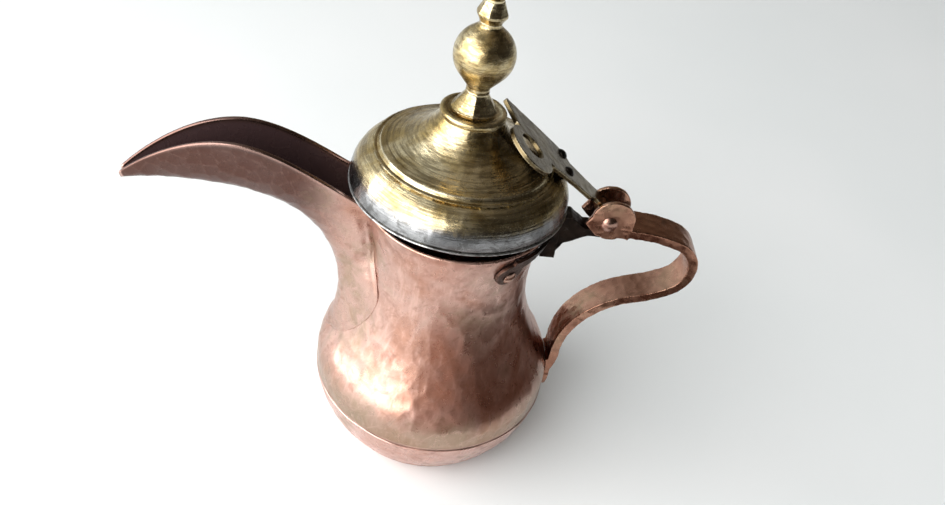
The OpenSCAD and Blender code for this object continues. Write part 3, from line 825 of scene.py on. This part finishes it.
def turned(name, profile, outer_count, count, material, nodes, cut=0.05, dent=0.08, seed=1, pitch=0.9,
           sides=0):
    """Revolved lid piece with lathe rings and small dents; profile is closed, outer points first."""
    p, n = revolved(profile, count)
    length, line = lathe_lines(profile, seed, pitch)
    shown = (np.arange(len(profile)) < outer_count)[:, None]
    broken = 0.7 + 0.5 * waves(p, 16, seed + 20, 1)
    ring = np.clip(0.5 + 0.9 * line[:, None] * broken, 0, 1) * shown
    lump = waves(p, 18, seed)
    h = dimples(p, 6.0, 1.5, np.random.default_rng(seed))[0]
    d = shown * (cut * (line[:, None] * broken - 0.6) + dent * (0.7 * (lump - 0.7) + 0.4 * (h - 1.2)))
    if sides:
        # filed flats round the piece
        t = np.linspace(0, 2 * np.pi, count, endpoint=False) + 0.3
        flat = math.cos(np.pi / sides) / np.cos(t % (2 * np.pi / sides) - np.pi / sides) - 1
        d = d + shown * 0.6 * flat[None] * profile[:, :1] * np.clip((profile[:, :1] - 4) / 2, 0, 1)
    p = to_row(p + n * d[..., None])
    mesh = mesh_from(name, p.reshape(-1, 3), grid_quads(*p.shape[:2], True, True))
    store(mesh, "ring", 1 - ring)
    t = np.linspace(0, 2 * np.pi, count, endpoint=False)
    turn = 7 * np.stack([np.cos(t), np.sin(t)], -1)
    lathe = np.empty((len(profile), count, 3), np.float32)
    lathe[..., :2] = turn[None]
    lathe[..., 2] = length[:, None] / 0.55
    mesh.attributes.new("lathe", "FLOAT_VECTOR", "POINT").data.foreach_set("vector", lathe.ravel())
    store(mesh, "rise", np.repeat(length, count))
    edge_wear(mesh, 1)
    return link(name, mesh, "lid", nodes, material)


def dome_piece():
    bulge_end = 66
    cone_in, cone_out = 38.3, CAP_R + 1.2

    def cone_angle(r, grow=0.0):
        return -math.degrees(math.acos((r - CONE_X) / (CONE_ARC + grow)))

    step_r, step_z = 40.4, BULGE_Z + 15.4
    outer = chain(
        run((FLANGE_R - 1.0, DOME_Z + 0.02), (BULGE_X + BULGE_R - 0.12, DOME_Z + 0.6), 0.3),
        arc(BULGE_X, BULGE_Z, BULGE_R, -3, bulge_end, 0.3),
        arc(step_r, step_z, 1.3, 30, 130, 0.2),
        run((39.3, step_z + 1.3), (38.7, step_z + 2.2), 0.3),
        arc(CONE_X, CONE_Z, CONE_ARC, cone_angle(cone_in), cone_angle(cone_out), 0.3),
        arc(CAP_R, CAP_Z - CAP_BEAD, CAP_BEAD, -56, 110, 0.2),
        run((CAP_R - 1.5, CAP_Z - 0.7), (FOOT_R - 0.8, CAP_Z - 0.6), 0.3),
        run((FOOT_R - 1.2, CAP_Z), (ROD_R, CAP_Z), 0.6),
    )
    t = DOME_T
    inner = chain(
        run((ROD_R, CAP_Z - 2), (10.6, CAP_Z - 2), 2),
        arc(CONE_X, CONE_Z, CONE_ARC + t, cone_angle(11.6, t), cone_angle(36.8, t), 1.2),
        arc(BULGE_X, BULGE_Z, BULGE_R - t, 62, -3, 1.2),
        run((FLANGE_R - 3.2, DOME_Z + 0.5), (FLANGE_R - 3.2, DOME_Z + 0.02), 0.5),
    )
    return turned("dome", chain(outer, inner), len(outer), 560, BRASS_DOME, ["lid_dome"],
                  cut=0.07, dent=0.16, seed=2, pitch=0.75)


def flange_piece():
    half = FLANGE_T / 2
    outer = chain(
        run((FLANGE_IN_R, FLANGE_Z), (FLANGE_R - half, FLANGE_Z), 1.2),
        arc(FLANGE_R - half, FLANGE_Z + half, half, -90, 90, 0.16),
        run((FLANGE_R - half, FLANGE_Z + FLANGE_T), (FLANGE_IN_R, FLANGE_Z + FLANGE_T), 1.2),
    )
    return turned("flange", outer, len(outer), 420, TINNED, ["lid_flange"], cut=0.0, dent=0.05, seed=4)


def soften(points, rounds):
    """Round the corners of an open run of points."""
    p = points.copy()
    for _ in range(rounds):
        p[1:-1] = 0.5 * p[1:-1] + 0.25 * (p[:-2] + p[2:])
    return p


def finial_pieces():
    def stack(top, foot_r):
        return chain(run((min(4.0, foot_r), top[1]), (ROD_R, top[1]), 1), run((ROD_R, top[1]), (ROD_R, top[0]), 2),
                     run((ROD_R, top[0]), (4.0, top[0]), 1))

    z = CAP_Z
    foot = soften(chain(
        run((ROD_R, z), (FOOT_R - 0.1, z), 0.4), arc(FOOT_R - 0.5, z + 0.5, 0.5, -90, 90, 0.15),
        run((FOOT_R - 0.6, z + 1.1), (8.3, z + 3.4), 0.25), run((8.3, z + 3.4), (6.4, z + 6.1), 0.25),
        run((6.4, z + 6.1), (FOOT_NECK_R, z + 8), 0.25), run((FOOT_NECK_R, z + 8), (FOOT_NECK_R, z + FOOT_H), 0.3),
    ), 3)
    foot_in = run((4.0, z + FOOT_H), (ROD_R, z + FOOT_H), 1)
    turned("finial_foot", chain(foot, foot_in), len(foot), 160, BRASS_TURNED, ["finial_base"],
           cut=0.02, dent=0.07, seed=5, pitch=0.8, sides=9)
    b = z + FOOT_H
    low, high = b + BULB_MID - 0.6 * BULB_R, b + BULB_MID + 0.8 * BULB_R
    cut = math.degrees(math.asin(0.6)), math.degrees(math.asin(0.8))
    bulb = soften(chain(
        run((4.2, b + 0.02), (FOOT_NECK_R, b + 0.3), 0.25), run((FOOT_NECK_R, b + 0.3), (FOOT_NECK_R, b + 2.2), 0.25),
        run((FOOT_NECK_R, b + 2.2), (0.8 * BULB_R, low), 0.25), arc(0, b + BULB_MID, BULB_R, -cut[0], cut[1], 0.25),
        run((0.6 * BULB_R, high), (BULB_NECK_R, b + 30.3), 0.25),
        run((BULB_NECK_R, b + 30.3), (BULB_NECK_R, b + BULB_H), 0.25),
    ), 5)
    bulb_in = stack((b, b + BULB_H), 4.0)
    turned("finial_bulb_turned", chain(bulb, bulb_in), len(bulb), 200, BRASS_TURNED, ["finial_bulb"],
           cut=0.025, dent=0.09, seed=6, pitch=0.7)
    k = b + BULB_H
    knop = soften(chain(run((BULB_NECK_R, k), (KNOP_R - 0.1, k + 2.8), 0.2),
                        run((KNOP_R - 0.1, k + 2.8), (KNOP_R - 0.1, k + 4), 0.2),
                        run((KNOP_R - 0.1, k + 4), (4.3, k + KNOP_H), 0.2)), 3)
    knop_in = stack((k, k + KNOP_H), 3.8)
    turned("finial_knop_turned", chain(knop, knop_in), len(knop), 160, BRASS_TURNED, ["finial_knop"],
           cut=0.015, dent=0.08, seed=7, pitch=0.7, sides=8)


body_piece()
pan_piece()
spout_piece()
# node, piece, body, slot, material, voxel, smoothing rounds, unevenness, seed
FORGED = (
    ("handle", "handle_strap", "pot", "copper", COPPER_STRAP, 0.42, 7, 0.22, 21),
    ("neck_band", "neck_bracket", "pot", "dark_iron", IRON_BAND, 0.36, 4, 0.22, 22),
    ("hinge_tongue", "hinge_bar", "pot", "dark_iron", IRON, 0.36, 4, 0.25, 23),
    ("lid_strap", "lid_arm", "lid", "brass", BRASS_STRAP, 0.30, 3, 0.10, 24),
    ("hinge_pin", "hinge_pin_worn", "pot", "copper", COPPER_RIVET, 0.2, 3, 0.10, 25),
    ("band_rivets", "band_rivets_worn", "pot", "copper", COPPER_RIVET, 0.2, 3, 0.12, 26),
    ("handle_rivets", "handle_rivets_worn", "pot", "copper", COPPER_RIVET, 0.2, 3, 0.12, 27),
    ("strap_rivets", "strap_rivets_worn", "lid", "dark_iron", IRON, 0.2, 3, 0.10, 28),
)
for row in FORGED:
    forged(*row)
dome_piece()
flange_piece()
finial_pieces()
# CAD nodes that stay as they are, with a better material
KEPT = {"lid_skirt": TINNED, "finial_rod": BRASS_TURNED, "finial_rove": BRASS_STRAP, "finial_tip": BRASS_TURNED}
for node, material in KEPT.items():
    mesh = frame["nodes"][node].data
    mesh.materials.clear()
    mesh.materials.append(material)


# ---------- floor, light and camera ----------


def floor_piece():
    bpy.ops.mesh.primitive_grid_add(x_subdivisions=2, y_subdivisions=2, size=6, location=(0, 0, 0))
    floor = bpy.context.object
    floor.name = "floor"
    g = Graph("floor_white")
    soft = g.noise(4, 2)
    colour = g.mix(g.span(soft, 0.3, 0.7), (0.84, 0.87, 0.88), (0.88, 0.90, 0.91))
    g.put(g.bsdf.inputs["Base Color"], colour)
    g.bsdf.inputs["Roughness"].default_value = 0.55
    floor.data.materials.append(g.material)


def area_light(name, where, at, size, energy, tint):
    data = bpy.data.lights.new(name, "AREA")
    data.shape = "RECTANGLE"
    data.size, data.size_y = size
    data.energy = energy
    data.color = tint
    obj = bpy.data.objects.new(name, data)
    bpy.context.scene.collection.objects.link(obj)
    obj.location = where
    obj.rotation_euler = (Vector(at) - Vector(where)).to_track_quat("-Z", "Y").to_euler()
    return obj


def curved_wall(name, material, radius, start, stop, steps, low, high):
    """Upright wall round the pot axis between two angles in degrees. It casts no shadow."""
    whole = stop - start == 360
    a = np.radians(np.linspace(start, stop, steps, endpoint=not whole))
    x, y = radius * np.cos(a), radius * np.sin(a)
    rows = np.stack([np.stack([x, y, np.full(steps, z)], -1) for z in (low, high)])
    mesh = bpy.data.meshes.new(name)
    mesh.from_pydata(rows.reshape(-1, 3).tolist(), [], grid_quads(2, steps, False, whole).tolist())
    obj = bpy.data.objects.new(name, mesh)
    bpy.context.scene.collection.objects.link(obj)
    mesh.materials.append(material)
    obj.visible_diffuse = False
    obj.visible_shadow = False
    return obj


def backdrop():
    """A pale wall round the table, seen by the camera only, for views from low down."""
    radius, height = 3.0, 3.5
    g = Graph("backdrop_pale")
    glow = g.nodes.new("ShaderNodeEmission")
    g.put(glow.inputs["Color"], g.mix(g.span(g.part(2), 0.0, height), (0.50, 0.51, 0.51), (0.66, 0.67, 0.67)))
    g.links.new(glow.outputs[0], g.nodes["Material Output"].inputs["Surface"])
    wall_piece = curved_wall("backdrop", g.material, radius, 0, 360, 96, -0.001, height)
    wall_piece.visible_glossy = False


def painted_reflection_screen():
    """A glowing dark brown screen standing round the viewer's side of the table, seen only as a reflection: a painted
    reflection of a dark room.
    """
    radius, start, stop, top, soft_top = 0.145, -122, 40, 0.105, 0.03
    paler, darker = (-100, (0.62, 0.46, 0.40)), (-48, (0.105, 0.068, 0.054))
    g = Graph("painted_reflection_screen")
    turn = g.math("MULTIPLY", g.math("ARCTAN2", g.part(1), g.part(0)), math.degrees(1))
    # painted reflection: the screen glows pale brown at one end and dark brown at the other
    glow = g.nodes.new("ShaderNodeEmission")
    g.put(glow.inputs["Color"], g.mix(g.span(turn, paler[0], darker[0]), paler[1], darker[1]))
    # the screen fades out at both ends and along its top
    ends = g.math("MULTIPLY", g.span(turn, start + 4, start + 24), g.span(turn, stop - 4, stop - 26))
    seen = g.math("MULTIPLY", ends, g.span(g.part(2), top, top - soft_top))
    both = g.nodes.new("ShaderNodeMixShader")
    g.put(both.inputs[0], seen)
    g.links.new(g.nodes.new("ShaderNodeBsdfTransparent").outputs[0], both.inputs[1])
    g.links.new(glow.outputs[0], both.inputs[2])
    g.links.new(both.outputs[0], g.nodes["Material Output"].inputs["Surface"])
    screen = curved_wall("painted_reflection_screen", g.material, radius, start, stop, 60, 0.001, top)
    screen.visible_camera = False


def world_light():
    world = bpy.data.worlds.new("studio")
    bpy.context.scene.world = world
    world.use_nodes = True
    nodes, links = world.node_tree.nodes, world.node_tree.links
    back = nodes["Background"]
    where = nodes.new("ShaderNodeTexCoord")
    split = nodes.new("ShaderNodeSeparateXYZ")
    links.new(where.outputs["Generated"], split.inputs[0])

    def lobe(axis, lo, hi, amount):
        n = nodes.new("ShaderNodeMapRange")
        n.interpolation_type = "SMOOTHSTEP"
        n.inputs["From Min"].default_value = lo
        n.inputs["From Max"].default_value = hi
        n.inputs["To Max"].default_value = amount
        links.new(split.outputs[axis], n.inputs["Value"])
        return n.outputs["Result"]

    def add(a, b):
        n = nodes.new("ShaderNodeMath")
        links.new(a, n.inputs[0])
        links.new(b, n.inputs[1])
        return n.outputs[0]

    # bright towards the window, warm and dim behind, dark on the handle side
    window_side, behind, above, everywhere = 0.90, 0.22, 0.22, 0.04
    strength = add(lobe(0, 0.25, -1.0, window_side), lobe(1, 0.30, 1.0, behind))
    strength = add(strength, lobe(2, 0.80, 1.0, above))
    base = nodes.new("ShaderNodeMath")
    base.inputs[1].default_value = everywhere
    links.new(strength, base.inputs[0])
    links.new(base.outputs[0], back.inputs["Strength"])
    tint = nodes.new("ShaderNodeMix")
    tint.data_type = "RGBA"
    tint.inputs[6].default_value = (0.95, 0.80, 0.62, 1)
    tint.inputs[7].default_value = (0.93, 0.98, 1.0, 1)
    links.new(lobe(0, 0.4, -0.4, 1.0), tint.inputs[0])
    links.new(tint.outputs[2], back.inputs["Color"])


def camera():
    """The photograph's view: above and beside the pot, rolled a little."""
    lift, roll, side = math.radians(42.36), math.radians(11.54), math.radians(10)
    lens, sensor, distance = 40, 36, 0.50415
    aim_along, aim_up = 0.01058, 0.11175
    data = bpy.data.cameras.new("camera")
    data.sensor_width = sensor
    data.lens = lens
    data.clip_start, data.clip_end = 0.01, 50
    obj = bpy.data.objects.new("camera", data)
    bpy.context.scene.collection.objects.link(obj)
    turn = Matrix.Rotation(-side, 3, "Z")
    ahead = turn @ Vector((0, math.cos(lift), -math.sin(lift)))
    right = turn @ Vector((1, 0, 0))
    up = turn @ Vector((0, math.sin(lift), math.cos(lift)))
    aim = turn @ Vector((aim_along, 0, aim_up))
    place = aim - distance * ahead
    x = right * math.cos(roll) + up * math.sin(roll)
    y = up * math.cos(roll) - right * math.sin(roll)
    obj.matrix_world = Matrix.Translation(place) @ Matrix((x, y, -ahead)).transposed().to_4x4()
    bpy.context.scene.camera = obj


floor_piece()
backdrop()
painted_reflection_screen()
world_light()
WINDOW_AT, WINDOW_SIZE, WINDOW_POWER = (-0.96, -0.45, 0.63), (2.15, 1.25), 36
FILL_AT, FILL_SIZE, FILL_POWER = (0.6, 0.1, 2.2), (3.0, 3.0), 13
area_light("window", WINDOW_AT, (0, 0, 0.06), WINDOW_SIZE, WINDOW_POWER, (1.0, 0.99, 0.97))
area_light("fill", FILL_AT, (0, 0, 0), FILL_SIZE, FILL_POWER, (1.0, 1.0, 1.0)).visible_glossy = False
camera()
view = bpy.context.scene.view_settings
view.view_transform = "Standard"
view.exposure = 0.0
